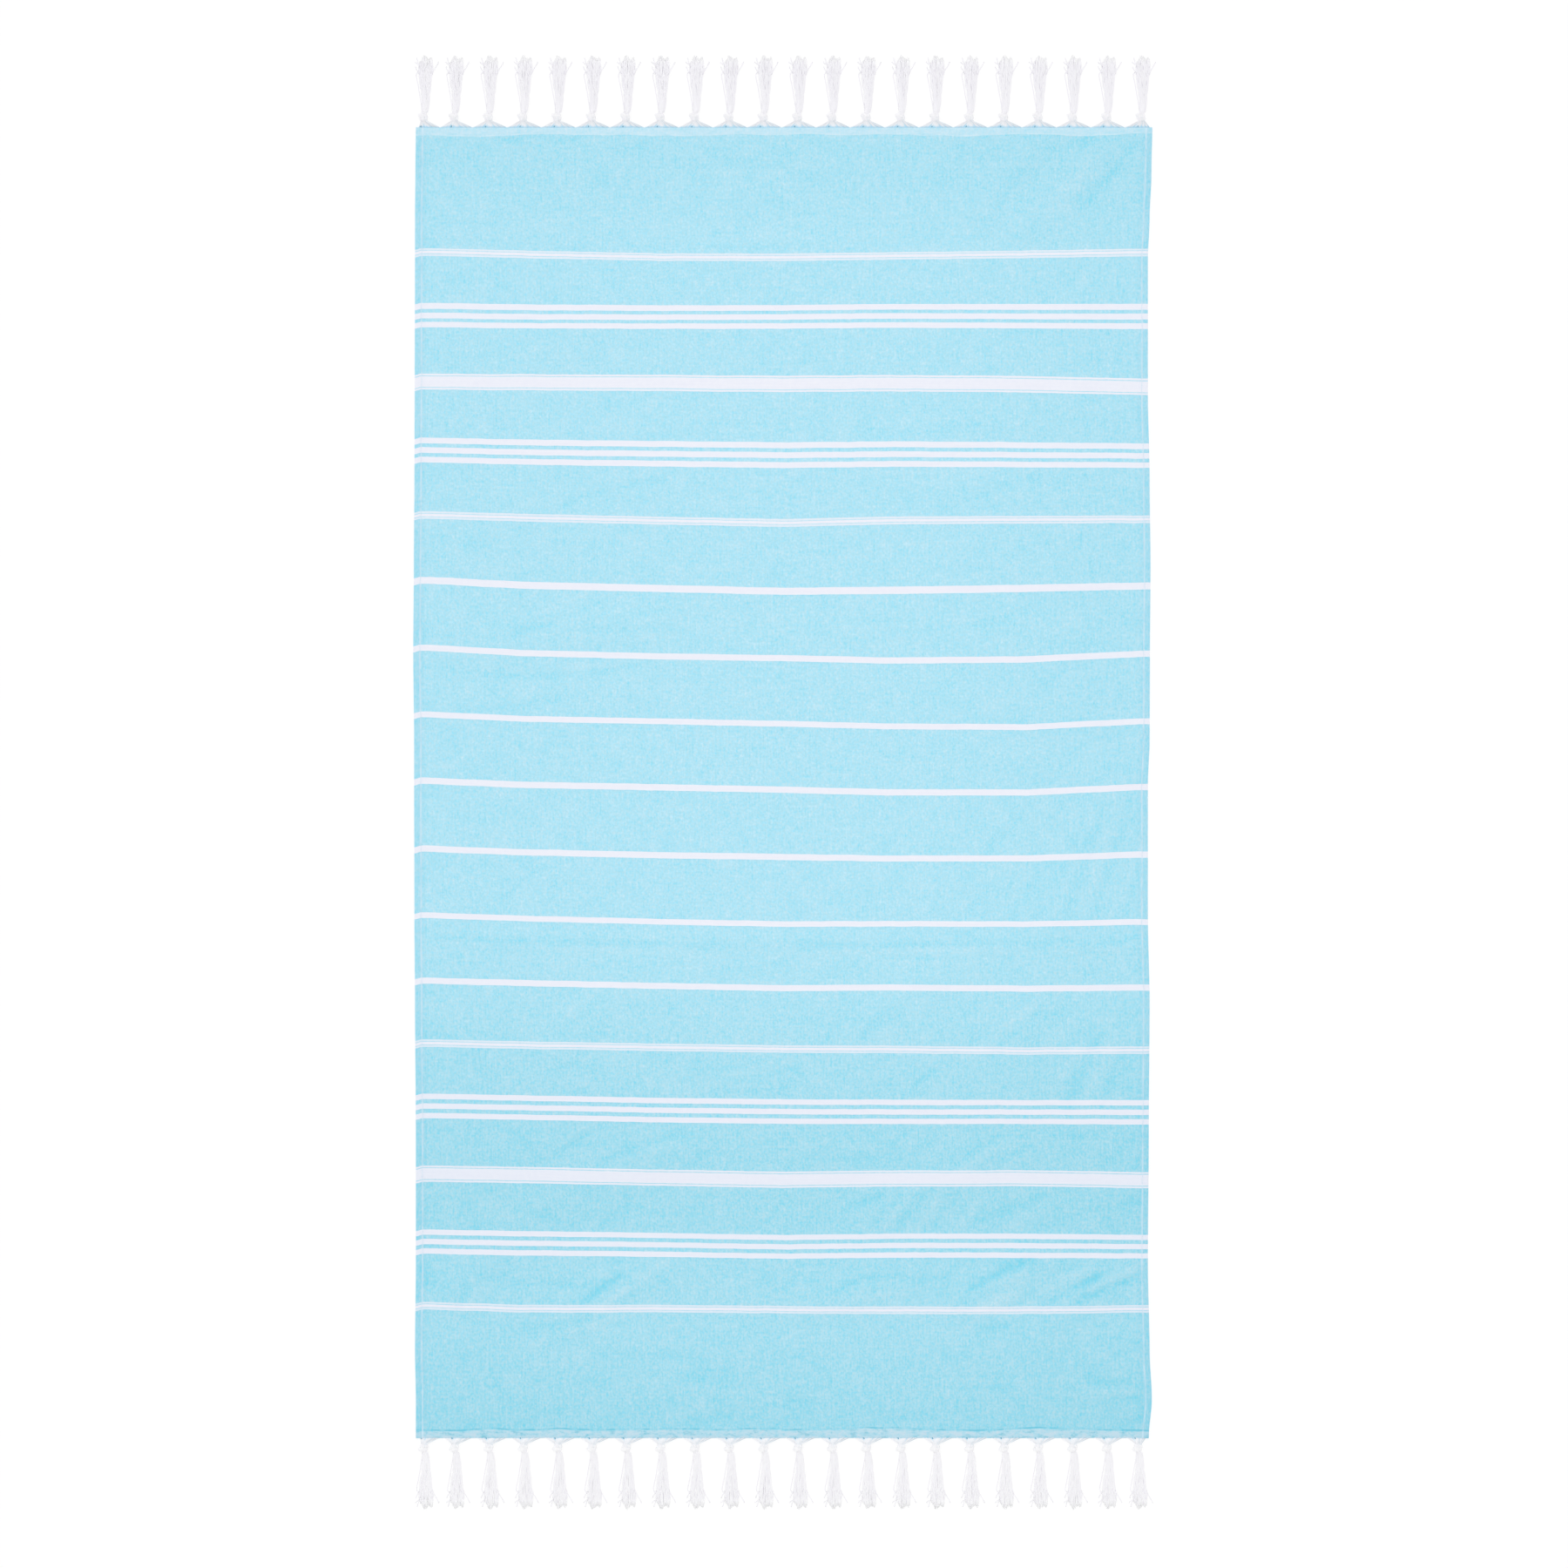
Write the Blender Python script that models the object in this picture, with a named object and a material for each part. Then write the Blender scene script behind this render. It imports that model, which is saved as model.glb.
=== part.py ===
"""Hammam towel laid flat on z = 0: one hemmed cloth with a row of knotted tassels along each end.

X runs across the cloth, Y along it, Z up. All sizes are in metres.
"""

from collections import namedtuple

import bmesh
import bpy
from mathutils import Vector

# Cloth
CLOTH_HALF_WIDTH = 0.500
CLOTH_HALF_LENGTH = 0.890
SHEET_THICK = 0.0012
HEM_THICK = 0.0022
SIDE_HEM_WIDTH = 0.0095
END_HEM_WIDTH = 0.0105
HEM_STEP = 0.0015
CELLS_ACROSS = 20
CELLS_ALONG = 36

# Tassels
GAP = 0.0003
TASSEL_COUNT = 22
KNOT_FROM_EDGE = 0.0148
FAN_INSET = 0.0030

# The two long edges: how far each stands out past the half width, along the cloth.
EdgeRow = namedtuple("EdgeRow", "y left_out right_out")
EDGES = [
    EdgeRow(0.890, -0.0012, 0.0012),
    EdgeRow(0.826, -0.0006, 0.0000),
    EdgeRow(0.767, 0.0000, -0.0024),
    EdgeRow(0.708, 0.0000, -0.0048),
    EdgeRow(0.530, 0.0004, -0.0048),
    EdgeRow(0.412, 0.0008, -0.0024),
    EdgeRow(0.293, 0.0016, -0.0012),
    EdgeRow(0.175, 0.0024, -0.0020),
    EdgeRow(0.057, 0.0012, -0.0024),
    EdgeRow(-0.002, 0.0012, -0.0048),
    EdgeRow(-0.180, 0.0008, -0.0048),
    EdgeRow(-0.298, 0.0000, -0.0024),
    EdgeRow(-0.476, -0.0012, -0.0036),
    EdgeRow(-0.653, -0.0012, -0.0048),
    EdgeRow(-0.772, 0.0000, -0.0024),
    EdgeRow(-0.837, -0.0012, 0.0006),
    EdgeRow(-0.890, -0.0012, -0.0036),
]

# Low folds that lift the cloth off the floor, each a ridge between two points.
Fold = namedtuple("Fold", "x0 y0 x1 y1 half_width height")
FOLDS = [
    Fold(0.425, 0.850, 0.335, 0.760, 0.045, 0.0034),
    Fold(0.340, 0.862, 0.262, 0.775, 0.040, 0.0022),
    Fold(-0.420, -0.212, 0.480, -0.221, 0.019, 0.0016),
    Fold(0.455, 0.010, 0.372, -0.175, 0.050, 0.0026),
    Fold(0.395, -0.130, 0.330, -0.330, 0.048, 0.0022),
    Fold(-0.300, -0.350, -0.205, -0.262, 0.046, 0.0024),
    Fold(0.115, -0.325, 0.225, -0.245, 0.048, 0.0022),
    Fold(-0.330, -0.575, -0.120, -0.490, 0.052, 0.0028),
    Fold(0.110, -0.595, 0.270, -0.520, 0.050, 0.0026),
    Fold(-0.285, -0.722, -0.190, -0.668, 0.046, 0.0030),
    Fold(0.040, -0.712, 0.165, -0.662, 0.044, 0.0026),
    Fold(0.245, -0.705, 0.350, -0.645, 0.046, 0.0030),
    Fold(0.355, -0.745, 0.445, -0.665, 0.044, 0.0024),
    Fold(-0.450, -0.690, -0.400, -0.640, 0.044, 0.0026),
    Fold(-0.380, 0.190, -0.180, 0.225, 0.050, 0.0024),
    Fold(0.150, 0.455, 0.275, 0.490, 0.048, 0.0016),
    Fold(-0.120, 0.700, 0.060, 0.720, 0.052, 0.0016),
    Fold(-0.360, 0.560, -0.250, 0.640, 0.050, 0.0014),
]
CROSS_FOLD_ROWS = (-0.193, -0.206, -0.217, -0.228, -0.241)

# The knots' X along each end: the corner ones stand closer to their neighbour, the rest are even.
TasselRow = namedtuple("TasselRow", "prefix direction first second last_but_one last")
TASSEL_ROWS = [
    TasselRow("tassel_far", 1, -0.4879, -0.4464, 0.4396, 0.4862),
    TasselRow("tassel_near", -1, -0.4870, -0.4450, 0.4407, 0.4826),
]

# A tassel's head, sections from the hem through the fan and the knot to the neck. along is from the
# knot's middle, away from the cloth; left and right None take the fan's own span at the hem.
Section = namedtuple("Section", "along left right top")
HEAD = [
    Section(-0.0145, None, None, 0.0013),
    Section(-0.0101, -0.0158, 0.0186, 0.0024),
    Section(-0.0053, -0.0066, 0.0078, 0.0056),
    Section(-0.0034, -0.0049, 0.0060, 0.0074),
    Section(-0.0006, -0.0075, 0.0066, 0.0089),
    Section(0.0021, -0.0090, 0.0058, 0.0091),
    Section(0.0044, -0.0077, 0.0046, 0.0080),
    Section(0.0063, -0.0047, 0.0053, 0.0058),
    Section(0.0094, -0.0039, 0.0071, 0.0046),
    Section(0.0120, -0.0038, 0.0075, 0.0038),
]
HEAD_OUTLINE = ((0.12, 0.0), (0.88, 0.0), (1.0, 0.5), (0.74, 1.0), (0.26, 1.0), (0.0, 0.5))

# The skirt: locks fanned from the neck. A station is one distance along all of them but the tip's.
Station = namedtuple("Station", "along centre pitch width low top")
STATIONS = [
    Station(0.0092, 0.0018, 0.00200, 0.00165, 0.0006, 0.0026),
    Station(0.0207, 0.0024, 0.00246, 0.00212, 0.0000, 0.0031),
    Station(0.0360, 0.0030, 0.00276, 0.00240, 0.0000, 0.0029),
    Station(0.0590, 0.0023, 0.00402, 0.00352, 0.0000, 0.0026),
]
TIP = Station(None, 0.0024, 0.00410, 0.00250, 0.0000, 0.0017)
Lock = namedtuple("Lock", "place bend tip_along")
LOCKS = [
    Lock(-2, -0.0001, 0.0735),
    Lock(-1, 0.0001, 0.0816),
    Lock(0, 0.0000, 0.0785),
    Lock(1, 0.0001, 0.0768),
    Lock(2, 0.0000, 0.0800),
]
StrayPoint = namedtuple("StrayPoint", "along across width low top")
STRAY = [
    StrayPoint(0.0050, -0.0030, 0.0010, 0.0008, 0.0020),
    StrayPoint(0.0210, -0.0055, 0.0013, 0.0000, 0.0014),
    StrayPoint(0.0588, -0.0109, 0.0012, 0.0000, 0.0013),
]

CLOTH_COLOUR = (0.42, 0.76, 0.86, 1.0)
YARN_COLOUR = (0.87, 0.87, 0.90, 1.0)


def clear_objects():
    for item in list(bpy.data.objects):
        bpy.data.objects.remove(item, do_unlink=True)


def fabric(name, colour):
    material = bpy.data.materials.new(name)
    material.use_nodes = True
    shader = material.node_tree.nodes["Principled BSDF"]
    shader.inputs["Base Color"].default_value = colour
    shader.inputs["Roughness"].default_value = 0.9
    return material


def add_object(name, points, faces, colour=None):
    mesh = bpy.data.meshes.new(name)
    mesh.from_pydata(points, [], faces)
    work = bmesh.new()
    work.from_mesh(mesh)
    bmesh.ops.recalc_face_normals(work, faces=work.faces)
    bmesh.ops.triangulate(work, faces=work.faces)
    work.to_mesh(mesh)
    work.free()
    item = bpy.data.objects.new(name, mesh)
    bpy.context.collection.objects.link(item)
    if colour:
        mesh.materials.append(fabric(name, colour))
    return item


def smooth(share):
    share = min(max(share, 0.0), 1.0)
    return share * share * (3.0 - 2.0 * share)


def edge_out(y, column):
    """How far a long edge stands out at y, eased between the rows of EDGES."""
    for upper, lower in zip(EDGES, EDGES[1:]):
        if y >= lower.y:
            share = smooth((upper.y - y) / (upper.y - lower.y))
            start = getattr(upper, column)
            return start + (getattr(lower, column) - start) * share
    return getattr(EDGES[-1], column)


def lift(x, y):
    """Height of the cloth's underside: the tallest fold there, flat on the floor elsewhere."""
    highest = 0.0
    for fold in FOLDS:
        start = Vector((fold.x0, fold.y0))
        run = Vector((fold.x1, fold.y1)) - start
        share = min(max((Vector((x, y)) - start).dot(run) / run.length_squared, 0.0), 1.0)
        away = (Vector((x, y)) - start - run * share).length
        highest = max(highest, fold.height * smooth(1.0 - away / fold.half_width))
    return highest


def even(start, end, count):
    return [start + (end - start) * step / count for step in range(count + 1)]


def columns_at(y):
    """Each column's X and the cloth's thickness there, hem to hem."""
    left = -CLOTH_HALF_WIDTH - edge_out(y, "left_out")
    right = CLOTH_HALF_WIDTH + edge_out(y, "right_out")
    inner = even(left + SIDE_HEM_WIDTH + HEM_STEP, right - SIDE_HEM_WIDTH - HEM_STEP, CELLS_ACROSS)
    columns = [(left, HEM_THICK), (left + SIDE_HEM_WIDTH, HEM_THICK)]
    columns += [(x, SHEET_THICK) for x in inner]
    columns += [(right - SIDE_HEM_WIDTH, HEM_THICK), (right, HEM_THICK)]
    return columns


def rows():
    """Each row's Y and the cloth's thickness there, end to end, with more rows over the cross fold."""
    end = CLOTH_HALF_LENGTH
    inner_end = end - END_HEM_WIDTH - HEM_STEP
    clear = 2.0 * inner_end / CELLS_ALONG * 0.5
    inner = [y for y in even(-inner_end, inner_end, CELLS_ALONG)
             if min(abs(y - row) for row in CROSS_FOLD_ROWS) > clear]
    inner = sorted(inner + list(CROSS_FOLD_ROWS))
    hem = end - END_HEM_WIDTH
    return ([(-end, HEM_THICK), (-hem, HEM_THICK)]
            + [(y, SHEET_THICK) for y in inner]
            + [(hem, HEM_THICK), (end, HEM_THICK)])


def build_cloth():
    points = []
    row_list = rows()
    for y, row_thick in row_list:
        for x, thick in columns_at(y):
            low = lift(x, y)
            points.append((x, y, low))
            points.append((x, y, low + max(thick, row_thick)))
    width = len(columns_at(0.0))
    depth = len(row_list)

    def index(row, column, layer):
        return 2 * (row * width + column) + layer

    faces = []
    for row in range(depth - 1):
        for column in range(width - 1):
            for layer in (0, 1):
                faces.append([index(row, column, layer), index(row, column + 1, layer),
                              index(row + 1, column + 1, layer), index(row + 1, column, layer)])
    for row in range(depth - 1):
        for column in (0, width - 1):
            faces.append([index(row, column, 0), index(row + 1, column, 0),
                          index(row + 1, column, 1), index(row, column, 1)])
    for column in range(width - 1):
        for row in (0, depth - 1):
            faces.append([index(row, column, 0), index(row, column + 1, 0),
                          index(row, column + 1, 1), index(row, column, 1)])
    add_object("cloth", points, faces, CLOTH_COLOUR)


def loft(rings, points, faces):
    """Adds one closed tube through the rings, each a list of points of the same number."""
    first = len(points)
    sides = len(rings[0])
    for ring in rings:
        points.extend(ring)
    for step in range(len(rings) - 1):
        for side in range(sides):
            here = first + step * sides + side
            beside = first + step * sides + (side + 1) % sides
            faces.append([here, beside, beside + sides, here + sides])
    faces.append([first + side for side in range(sides)])
    last = first + (len(rings) - 1) * sides
    faces.append([last + side for side in range(sides)])


def strand_ring(along, across, width, low, top):
    return [(across - width / 2, along, low), (across + width / 2, along, low), (across, along, top)]


def head_rings(fan_left, fan_right):
    rings = []
    for section in HEAD:
        left = section.left if section.left is not None else fan_left
        right = section.right if section.right is not None else fan_right
        left = max(left, fan_left)
        right = min(right, fan_right)
        rings.append([(left + (right - left) * share, section.along, section.top * height)
                      for share, height in HEAD_OUTLINE])
    return rings


def lock_rings(lock):
    rings = []
    for station in STATIONS:
        across = station.centre + lock.place * station.pitch + lock.bend
        rings.append(strand_ring(station.along, across, station.width, station.low, station.top))
    across = TIP.centre + lock.place * TIP.pitch + lock.bend
    rings.append(strand_ring(lock.tip_along, across, TIP.width, TIP.low, TIP.top))
    return rings


def placed(points, x, y, direction):
    """Tassel points moved to the knot's place; direction -1 is the row at the near end."""
    return [(x + px, y + direction * py, pz) for px, py, pz in points]


def build_tassel(name, x, y, direction, fan_left, fan_right):
    points = []
    faces = []
    loft(head_rings(fan_left, fan_right), points, faces)
    head = add_object(name, placed(points, x, y, direction), faces, YARN_COLOUR)
    points = []
    faces = []
    for lock in LOCKS:
        loft(lock_rings(lock), points, faces)
    loft([strand_ring(*point) for point in STRAY], points, faces)
    skirt = add_object(name + "_skirt", placed(points, x, y, direction), faces)
    skirt.hide_render = True
    skirt.display_type = "WIRE"
    union = head.modifiers.new("skirt", "BOOLEAN")
    union.operation = "UNION"
    union.solver = "EXACT"
    union.object = skirt


def build_row(row):
    places = [row.first] + even(row.second, row.last_but_one, TASSEL_COUNT - 3) + [row.last]
    direction = row.direction
    y_edge = direction * CLOTH_HALF_LENGTH
    left = -CLOTH_HALF_WIDTH - edge_out(y_edge, "left_out") + FAN_INSET
    right = CLOTH_HALF_WIDTH + edge_out(y_edge, "right_out") - FAN_INSET
    borders = [left] + [(a + b) / 2 for a, b in zip(places, places[1:])] + [right]
    for number, x in enumerate(places):
        fan_left = borders[number] + GAP / 2 - x
        fan_right = borders[number + 1] - GAP / 2 - x
        name = f"{row.prefix}_{number + 1:02d}"
        build_tassel(name, x, y_edge + direction * KNOT_FROM_EDGE, direction, fan_left, fan_right)


clear_objects()
build_cloth()
for tassel_row in TASSEL_ROWS:
    build_row(tassel_row)
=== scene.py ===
"""Looks of the hammam towel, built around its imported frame: the woven cloth with its folds and hems,
the hem stitches, and every tassel yarn by yarn. X across, Y along, Z up, in metres."""

import math
from collections import namedtuple

import bpy
import numpy as np
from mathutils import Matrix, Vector, noise


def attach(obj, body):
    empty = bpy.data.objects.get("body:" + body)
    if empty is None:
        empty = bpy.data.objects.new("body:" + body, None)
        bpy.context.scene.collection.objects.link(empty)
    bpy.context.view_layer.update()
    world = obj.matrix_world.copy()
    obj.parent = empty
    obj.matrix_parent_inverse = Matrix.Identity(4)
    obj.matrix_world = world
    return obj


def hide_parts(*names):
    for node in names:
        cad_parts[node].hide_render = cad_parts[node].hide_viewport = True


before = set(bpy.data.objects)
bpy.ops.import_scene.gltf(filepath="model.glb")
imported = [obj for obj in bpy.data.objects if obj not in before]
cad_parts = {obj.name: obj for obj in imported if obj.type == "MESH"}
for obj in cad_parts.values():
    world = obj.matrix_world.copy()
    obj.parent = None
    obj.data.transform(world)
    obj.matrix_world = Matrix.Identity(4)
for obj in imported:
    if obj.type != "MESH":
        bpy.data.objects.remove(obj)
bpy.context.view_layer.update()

MM = 0.001
HALF_WIDTH = 0.500
HALF_LENGTH = 0.890
CELLS_ACROSS = 212
CELLS_ALONG = 384
# One cell of the underside is as wide as this many of the top.
UNDER_STEP = 4

# --- the cloth's outline and folds

# How far the long edges stand out past the half width, in mm: Y, left edge, right edge.
EDGES = MM * np.array((
    (-890, -1.2, -3.6), (-837, -1.2, 0.6), (-772, 0.0, -2.4), (-653, -1.2, -4.8),
    (-476, -1.2, -3.6), (-298, 0.0, -2.4), (-180, 0.8, -4.8), (-2, 1.2, -4.8),
    (57, 1.2, -2.4), (175, 2.4, -2.0), (293, 1.6, -1.2), (412, 0.8, -2.4),
    (530, 0.4, -4.8), (708, 0.0, -4.8), (767, 0.0, -2.4), (826, -0.6, 0.0),
    (890, -1.2, 1.2),
))

# The broad folds of the solid, low ridges, in mm: from, to, half width and height.
FOLDS = MM * np.array((
    (425, 850, 335, 760, 45, 3.4), (340, 862, 262, 775, 40, 2.2),
    (-420, -212, 480, -221, 19, 1.6), (455, 10, 372, -175, 50, 2.6),
    (395, -130, 330, -330, 48, 2.2), (-300, -350, -205, -262, 46, 2.4),
    (115, -325, 225, -245, 48, 2.2), (-330, -575, -120, -490, 52, 2.8),
    (110, -595, 270, -520, 50, 2.6), (-285, -722, -190, -668, 46, 3.0),
    (40, -712, 165, -662, 44, 2.6), (245, -705, 350, -645, 46, 3.0),
    (355, -745, 445, -665, 44, 2.4), (-450, -690, -400, -640, 44, 2.6),
    (-380, 190, -180, 225, 50, 2.4), (150, 455, 275, 490, 48, 1.6),
    (-120, 700, 60, 720, 52, 1.6), (-360, 560, -250, 640, 50, 1.4),
))

# Creases, in mm: from, to, height, negative for a trough, half width, and how far the line bows to
# its left.
Crease = namedtuple("Crease", "x0 y0 x1 y1 height half_width bow", defaults=(5, 0))
CREASES = MM * np.array([Crease(*row) for row in (
    # upper right corner
    (479, 873, 401, 779, -0.7, 7, 3), (425, 858, 350, 765, 0.3, 12, 4),
    (345, 861, 262, 753, -0.25, 6, 4), (372, 870, 345, 826, -0.2, 7, 2),
    # under the far header
    (-377, 873, -350, 874, -0.45, 4.6), (-306, 873, -280, 873, -0.6), (-209, 866, -176, 861, -0.4),
    (351, 859, 375, 862, -0.45, 6), (386, 869, 425, 874, -0.7, 6),
    # along the far edge, below some knots
    (-455, 886, -438, 886, -0.5, 2), (-407, 886, -390, 886, -0.7, 2),
    (-256, 888, -235, 888, -0.45, 1.8), (-206, 888, -183, 887, -0.5, 1.8),
    (-156, 888, -116, 888, -0.45, 1.8), (-48, 889, -29, 889, -0.45, 1.6),
    (59, 889, 72, 889, -0.4, 1.6), (284, 887, 318, 888, -0.6, 2), (281, 881, 320, 882, -0.4, 3.5),
    (402, 888, 420, 888, -0.5, 1.8), (452, 888, 466, 876, -0.5, 4.6),
    # first stripes
    (-93, 724, 37, 728, -0.35, 4.6, 1), (-93, 736, 37, 741, 0.2, 6, 1),
    (-283, 712, -266, 731, -0.3, 4.6), (102, 467, 262, 486, -0.35, 5, 1),
    (-205, 465, -158, 471, -0.3, 4.6), (-306, 374, -230, 398, -0.4, 4.6, 2),
    (-222, 402, -158, 413, -0.6, 4.6), (203, 364, 351, 418, -0.35, 5, 2),
    (268, 370, 315, 385, -0.3, 4.6), (335, 408, 349, 416, -0.6, 4.6), (250, 305, 298, 323, -0.25),
    # fine diagonals left of the middle
    (-377, 196, -305, 218, -0.6, 4.6, 2), (-305, 218, -235, 252, -0.3, 4.6, 2),
    (-353, 220, -247, 262, 0.3, 5, 4), (-407, 218, -347, 208, -0.35, 4.6),
    (-247, 219, -152, 238, -0.4, 4.6), (-294, 208, -152, 211, -0.45, 4.6, -2),
    (-282, 197, -164, 199, 0.2), (144, 206, 309, 217, -0.25, 4.6, -1), (295, 220, 357, 251, -0.45),
    (404, 187, 475, 195, -0.3, 4.6), (416, 225, 463, 234, -0.25, 4.6),
    (-472, 157, -152, 174, -0.5, 4.6, -20), (-300, 158, -160, 178, 0.3, 5, -6),
    (-466, 97, -282, 120, -0.45, 4.6, -6), (205, 118, 256, 163, -0.35),
    (345, 112, 404, 175, -0.35, 5.5, 3), (215, 73, 250, 83, -0.45), (386, 43, 463, 66, -0.3),
    # steep folds at the right
    (434, -32, 371, -204, -0.5, 7, 3), (475, -8, 416, -198, -0.4, 6, 3),
    (451, -38, 398, -192, 0.4, 7, 3), (481, -103, 461, -192, -0.45, 5, 2),
    (492, -60, 447, -180, 0.3, 6, 2), (398, -60, 361, -150, -0.3, 6, 2),
    (327, -44, 244, -133, -0.3, 6, -4), (298, -121, 244, -180, -0.3, 6),
    (345, -121, 309, -186, -0.35, 6),
    # left and middle, above the crosswise fold
    (-386, -162, -330, -115, -0.4), (-294, -186, -229, -138, -0.3),
    (-43, -194, -22, -142, 0.3, 4.6), (102, -192, 120, -144, -0.25, 4.6),
    # the crosswise fold
    (-497, -211, -117, -221, -0.6, 4.6, 1), (-140, -221, 120, -221, -0.3, 4.6),
    (20, -222, 351, -216, -0.5, 4.6), (330, -217, 492, -214, -0.35, 4.6),
    (-330, -229, -110, -231, 0.3), (0, -231, 310, -227, 0.3),
    # below it
    (-292, -316, -241, -272, 0.5, 4.6, 3), (-282, -326, -229, -284, -0.5, 4.6, 3),
    (-261, -312, -219, -277, 0.4, 4.6, 2), (-312, -348, -280, -322, -0.45, 4.6),
    (47, -360, 118, -284, -0.4, 5, 2), (96, -355, 158, -307, -0.4, 5, 2),
    (120, -355, 197, -300, 0.3, 5, 2), (171, -419, 212, -387, -0.9, 4.6, 2),
    (260, -375, 351, -292, 0.4, 6, 6), (280, -375, 357, -308, -0.4, 6, 5),
    (383, -450, 430, -340, -0.8, 8, 2), (366, -431, 410, -346, 0.5, 7, 2),
    (408, -450, 448, -345, 0.45, 6, 2), (430, -443, 473, -340, -0.5, 6, 2),
    (463, -399, 487, -340, -0.45), (-40, -402, 31, -388, -0.45, 4.6, 3),
    (-57, -422, 8, -412, -0.35, 4.6), (-335, -396, -273, -381, -0.5, 4.6, 2),
    (-330, -386, -300, -392, 0.4, 4.6), (-427, -367, -398, -411, -0.6),
    (-497, -338, -436, -351, -0.45, 6), (-164, -316, -128, -286, -0.35),
    # between the last single stripe and the triple one
    (-318, -512, -238, -462, -0.75, 4.8, 2), (-306, -494, -247, -456, 0.45, 5, 2),
    (-253, -517, -120, -472, -0.75, 4.8, 4), (-235, -526, -128, -489, 0.45, 5, 4),
    (-373, -467, -320, -520, -0.55), (-110, -470, -70, -512, -0.4),
    (221, -525, 309, -472, -0.5, 6, 2), (235, -532, 318, -482, 0.4, 6, 2),
    (274, -529, 357, -482, -0.4, 5, 2), (87, -512, 138, -507, -0.6), (110, -480, 150, -474, -0.45),
    (138, -499, 179, -464, -0.35), (-128, -523, -81, -482, -0.4), (386, -511, 422, -470, -0.45, 6),
    (434, -517, 487, -476, -0.45, 6), (2, -523, 61, -499, -0.35),
    # across the near thick stripe
    (84, -580, 138, -560, -0.9, 5, 2), (120, -604, 162, -556, -0.45), (134, -608, 176, -552, 0.45),
    (150, -610, 193, -556, -0.5), (176, -612, 218, -552, 0.45), (200, -612, 240, -550, -0.5),
    (232, -610, 274, -560, 0.5), (256, -604, 322, -566, -0.55, 5, 2),
    (289, -592, 366, -556, -0.75, 5, 2), (300, -606, 378, -570, 0.5, 6, 2),
    (340, -610, 412, -582, -0.5, 5, 2), (402, -608, 469, -577, 0.6, 6, 2),
    (428, -600, 486, -560, -0.9, 6, 2), (-209, -559, -218, -608, -0.45, 4.6),
    (-202, -560, -212, -612, 0.35, 4.6), (-288, -585, -247, -547, -0.45),
    (-365, -576, -276, -600, -0.4, 4.6), (-378, -598, -300, -558, 0.4, 4.6, 2),
    (-250, -606, -200, -564, -0.4, 5, 2), (-140, -600, -100, -556, -0.35),
    (-30, -606, 10, -560, -0.35), (22, -604, 60, -566, -0.4),
    # the strongest ones, above the last triple stripe
    (-353, -679, -247, -685, -0.55, 6), (-401, -667, -353, -683, -0.5, 6),
    (-276, -710, -216, -667, -1.35, 5.5, 2), (-250, -716, -208, -684, 0.95, 5, 2),
    (-306, -701, -235, -654, 0.4, 5, 2), (-212, -700, -160, -662, -0.4),
    (-199, -683, -152, -641, 0.5, 7), (66, -692, 134, -668, -0.95, 5.5, 3),
    (134, -676, 162, -664, -0.5), (156, -675, 233, -670, -0.5), (73, -713, 173, -689, 0.5, 5, 3),
    (8, -683, 31, -659, -0.45), (-60, -690, -10, -664, -0.35), (245, -694, 345, -644, -1.2, 5.5, 4),
    (260, -719, 321, -690, 0.9, 8), (296, -684, 332, -660, 0.5), (345, -697, 422, -656, 0.65, 6, 3),
    (352, -712, 432, -668, -0.7, 5, 3), (392, -690, 440, -662, -0.9),
    (414, -689, 483, -657, 0.85, 6.5), (392, -709, 494, -667, -0.9, 5.5, 3),
    (-498, -656, -470, -681, -1, 7), (-424, -679, -443, -716, -0.75, 5.5),
    (-411, -683, -430, -718, 0.65, 5.5),
    # lowest field
    (-353, -768, -203, -721, 0.6, 4.6, 3), (-353, -742, -235, -727, -0.45, 5, 2),
    (-162, -778, -95, -783, -0.5, 5, -2), (-134, -806, -60, -800, -0.35, 14),
    (268, -744, 315, -734, -0.55), (412, -812, 457, -818, -0.85, 6), (404, -830, 489, -826, 0.6),
    (445, -838, 489, -832, -0.6), (440, -783, 475, -772, -0.4), (-1, -838, 47, -844, -0.55),
    # over the near header
    (-436, -873, -415, -871, -0.7), (-363, -870, -339, -867, -0.6), (-235, -875, -205, -871, -0.7),
    (-134, -870, -63, -857, -0.6, 7), (-34, -875, 8, -870, -0.5), (132, -866, 179, -860, -0.4, 6),
    (457, -880, 489, -858, -0.8, 6), (256, -888, 281, -874, -0.6, 4),
    (-472, -882, -470, -888, -0.6, 3),
)])

# Smooth unevenness: grains a metre, seed and height. The header's border wanders by the last one.
SWELL = ((9.0, 1, 0.0009), (26.0, 2, 0.00035), (70.0, 3, 0.00014))
HEM_PUCKER = ((150.0, 4, 0.00022),)
HEADER_PUCKER = ((110.0, 5, 0.00025),)
HEADER_WANDER = ((13.0, 6, 0.0034), (41.0, 7, 0.0014))
# How far over the floor the flat cloth lies between its folds and creases.
CLOTH_REST = 0.0010
# The creases of the lower fields are this much deeper, from this Y down, over this span.
LOWER_DEEPER = 0.18
LOWER_FROM = -0.45
LOWER_SPAN = 0.25

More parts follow.
